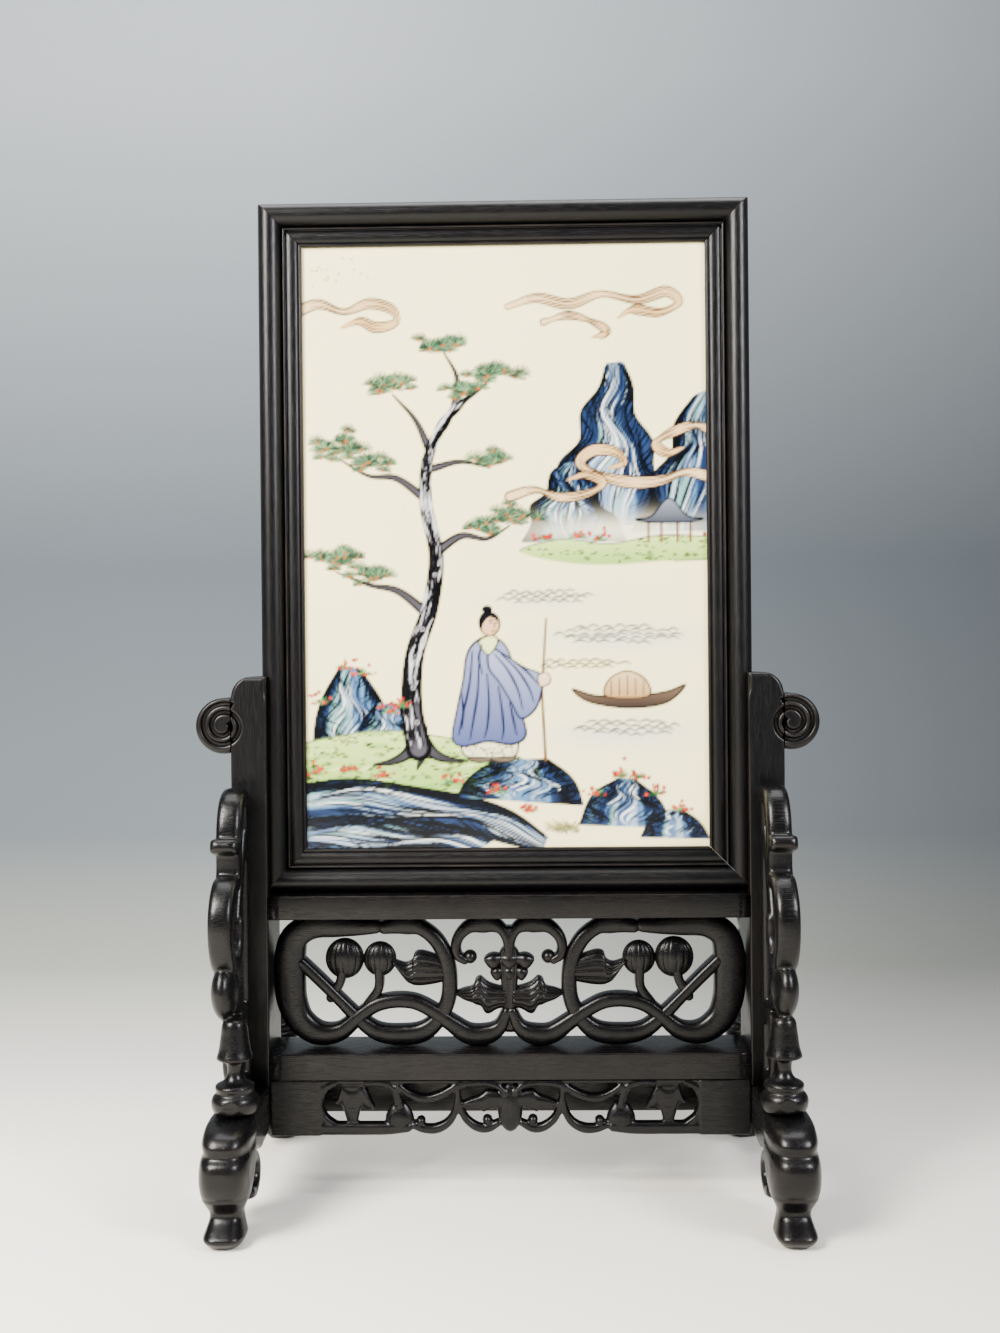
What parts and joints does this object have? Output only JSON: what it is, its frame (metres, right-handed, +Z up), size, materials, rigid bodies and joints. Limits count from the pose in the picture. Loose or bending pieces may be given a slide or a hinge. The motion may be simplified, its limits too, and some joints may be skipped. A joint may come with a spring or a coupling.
{
  "type": "table screen",
  "caption": "Table screen: a painted porcelain plaque in a moulded hardwood frame, set in a carved openwork stand with sled feet.",
  "frame": {"origin": "centre of the footprint on the floor under the four hooves", "axes": "+X to the viewer's right, the painted front faces -Y, +Z up"},
  "size_m": [0.3826, 0.217, 0.612],
  "materials": {
    "porcelain": "glazed, opaque, painted on its front",
    "blackwood": "ebonised, rubbed to a low gloss"
  },
  "bodies": {
    "root": {"porcelain_plaque": "porcelain", "back_board": "blackwood", "frame_top_rail": "blackwood", "frame_bottom_rail": "blackwood", "frame_left_stile": "blackwood", "frame_right_stile": "blackwood", "left_post": "blackwood", "right_post": "blackwood", "left_ear_scroll": "blackwood", "right_ear_scroll": "blackwood", "upper_rail": "blackwood", "lower_rail": "blackwood", "openwork_panel": "blackwood", "front_apron": "blackwood", "back_apron": "blackwood", "left_front_spandrel": "blackwood", "left_back_spandrel": "blackwood", "right_front_spandrel": "blackwood", "right_back_spandrel": "blackwood", "left_foot": "blackwood", "right_foot": "blackwood"}
  },
  "joints": []
}
